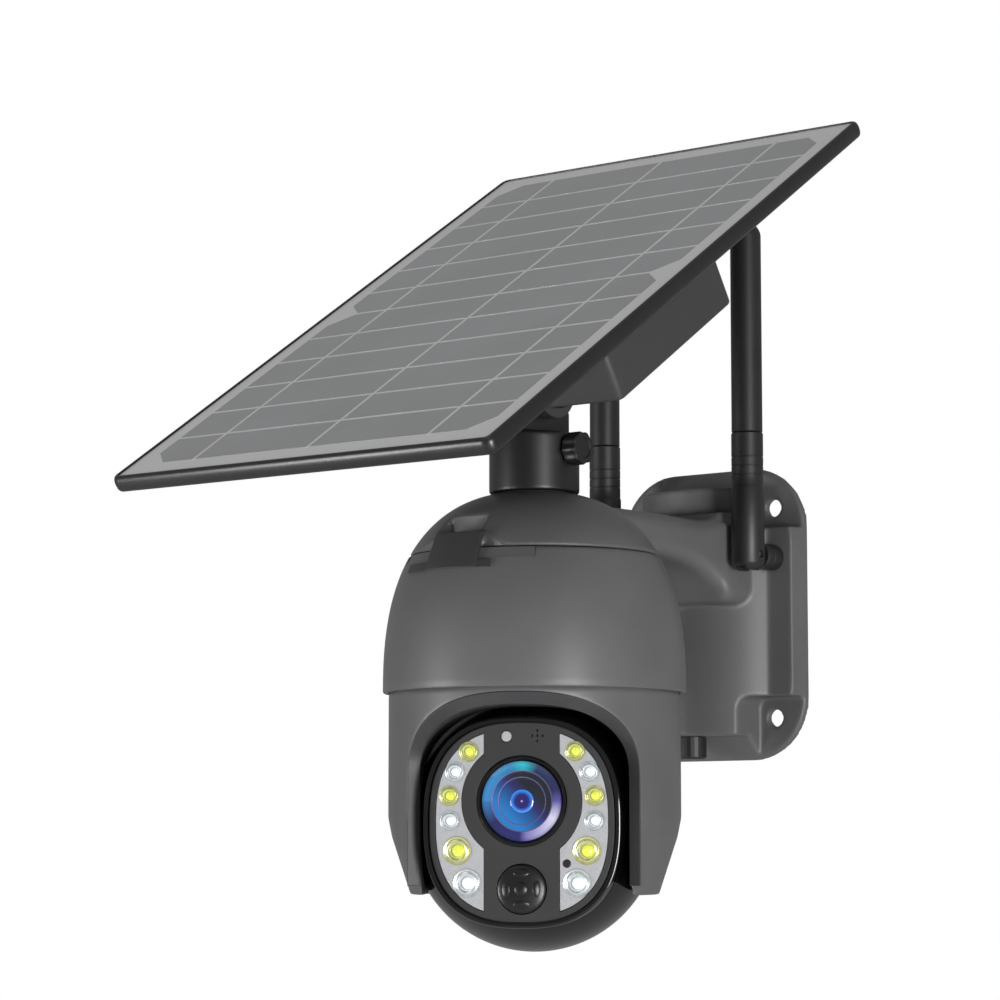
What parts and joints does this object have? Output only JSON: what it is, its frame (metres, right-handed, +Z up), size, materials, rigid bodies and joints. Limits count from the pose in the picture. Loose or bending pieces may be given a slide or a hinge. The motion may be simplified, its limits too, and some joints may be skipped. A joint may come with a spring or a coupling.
{
  "type": "solar security camera",
  "caption": "Wall-mounted pan and tilt security camera with a domed housing, a geared black camera ball, folding stub antennas and a tilting solar panel with a battery box above.",
  "frame": {"origin": "middle of the wall box's back face, which lies flat on the wall", "axes": "+X to the right as a person facing the camera sees it, +Y into the wall, +Z up"},
  "size_m": [0.2, 0.2865, 0.3586],
  "materials": {
    "housing": "grey moulded ASA with a fine satin texture",
    "ball": "polished black ABS",
    "face": "smooth dark grey plastic",
    "window": "pale grey translucent polycarbonate",
    "black_plastic": "black moulded nylon",
    "rubber": "black satin elastomer",
    "steel": "zinc plated steel",
    "brass": "turned brass",
    "acetal": "white acetal",
    "circuit_board": "green solder mask",
    "lens": "coated optical glass",
    "pir": "black polythene Fresnel cover",
    "panel_frame": "black ABS with a soft sheen",
    "solar_cells": "silicon cells laminated on a pale grey backsheet",
    "panel_glass": "clear tempered glass",
    "battery_wrap": "heat shrink sleeve"
  },
  "bodies": {
    "root": {"top_housing": "housing", "back_cover": "housing", "back_cover_screw_1": "steel", "back_cover_screw_2": "steel", "back_cover_screw_3": "steel", "back_cover_screw_4": "steel", "cable_port_plug": "rubber", "dome_skirt": "housing", "front_latch": "black_plastic", "chassis_plate": "black_plastic", "pan_bearing": "acetal", "pan_motor": "steel", "speaker": "black_plastic", "main_board": "circuit_board"},
    "pan_head": {"yoke_shell": "housing", "pan_hub": "black_plastic", "pan_gear": "acetal", "pan_retainer": "steel", "tilt_axle_right": "steel", "tilt_gear": "acetal", "tilt_axle_left": "steel"},
    "pan_pinion": {"pan_pinion": "brass"},
    "camera_ball": {"ball_front_shell": "ball", "ball_rear_shell": "ball", "face_plate": "face", "led_window_left": "window", "led_window_right": "window", "lens_ring": "black_plastic", "lens_glass": "lens", "lens_barrel": "black_plastic", "sensor_board": "circuit_board", "led_board": "circuit_board", "light_sensor_window": "window", "pir_lens": "pir", "tilt_motor": "steel"},
    "tilt_pinion": {"tilt_pinion": "brass"},
    "panel_post": {"panel_post": "black_plastic"},
    "thumb_stud": {"thumb_stud": "steel"},
    "thumb_knob": {"thumb_knob": "black_plastic"},
    "solar_panel": {"hinge_bolt": "black_plastic", "hinge_nut": "steel", "panel_frame": "panel_frame", "panel_glass": "panel_glass", "panel_laminate": "solar_cells", "battery_box": "panel_frame", "battery_box_lid": "panel_frame", "battery_pack_left": "battery_wrap", "battery_pack_right": "battery_wrap", "charge_board": "circuit_board"},
    "antenna_base_left": {"antenna_base_left": "rubber", "antenna_pin_left": "steel"},
    "antenna_left": {"antenna_sleeve_left": "rubber", "antenna_whip_left": "rubber"},
    "antenna_base_right": {"antenna_base_right": "rubber", "antenna_pin_right": "steel"},
    "antenna_right": {"antenna_sleeve_right": "rubber", "antenna_whip_right": "rubber"}
  },
  "joints": [
    {"name": "pan_turn", "type": "hinge", "parent": "root", "child": "pan_head", "pos_m": [0, -0.134, -0.0405], "axis": [0, 0, 1], "range_deg": [-209, 145]},
    {"name": "camera_tilt", "type": "hinge", "parent": "pan_head", "child": "camera_ball", "pos_m": [0, -0.134, -0.0958], "axis": [-0.8517, -0.524, 0], "range_deg": [-90, 5]},
    {"name": "pan_pinion_turn", "type": "hinge", "parent": "root", "child": "pan_pinion", "pos_m": [0, -0.169, -0.0405], "axis": [0, 0, 1], "range_deg": [-580, 836]},
    {"name": "tilt_pinion_turn", "type": "hinge", "parent": "camera_ball", "child": "tilt_pinion", "pos_m": [-0.00891, -0.11952, -0.0958], "axis": [-0.8517, -0.524, 0], "range_deg": [-216, 12]},
    {"name": "panel_swivel", "type": "hinge", "parent": "root", "child": "panel_post", "pos_m": [0, -0.134, 0.06], "axis": [0, 0, 1], "range_deg": [-10, 10]},
    {"name": "thumb_feed", "type": "slide", "parent": "panel_post", "child": "thumb_stud", "axis": [1, 0, 0], "range_m": [0, 0.0022]},
    {"name": "thumb_turn", "type": "hinge", "parent": "thumb_stud", "child": "thumb_knob", "pos_m": [0.023, -0.134, 0.062], "axis": [1, 0, 0], "range_deg": [0, 1080]},
    {"name": "panel_tilt", "type": "hinge", "parent": "panel_post", "child": "solar_panel", "pos_m": [0, -0.134, 0.089], "axis": [1, 0, 0], "range_deg": [-3, 24]},
    {"name": "antenna_swing_left", "type": "hinge", "parent": "root", "child": "antenna_base_left", "pos_m": [-0.0395, -0.032, 0.0235], "axis": [0, -1, 0], "range_deg": [0, 90]},
    {"name": "antenna_fold_left", "type": "hinge", "parent": "antenna_base_left", "child": "antenna_left", "pos_m": [-0.0395, -0.032, 0.0235], "axis": [1, 0, 0], "range_deg": [0, 10]},
    {"name": "antenna_swing_right", "type": "hinge", "parent": "root", "child": "antenna_base_right", "pos_m": [0.0395, -0.032, 0.0235], "axis": [0, 1, 0], "range_deg": [0, 90]},
    {"name": "antenna_fold_right", "type": "hinge", "parent": "antenna_base_right", "child": "antenna_right", "pos_m": [0.0395, -0.032, 0.0235], "axis": [1, 0, 0], "range_deg": [0, 10]}
  ],
  "couplings": [
    {"joint": "pan_pinion_turn", "follows": "pan_turn", "ratio": -4},
    {"joint": "tilt_pinion_turn", "follows": "camera_tilt", "ratio": 2.4},
    {"joint": "thumb_feed", "follows": "thumb_turn", "m_per_rad": 0.00011141}
  ]
}
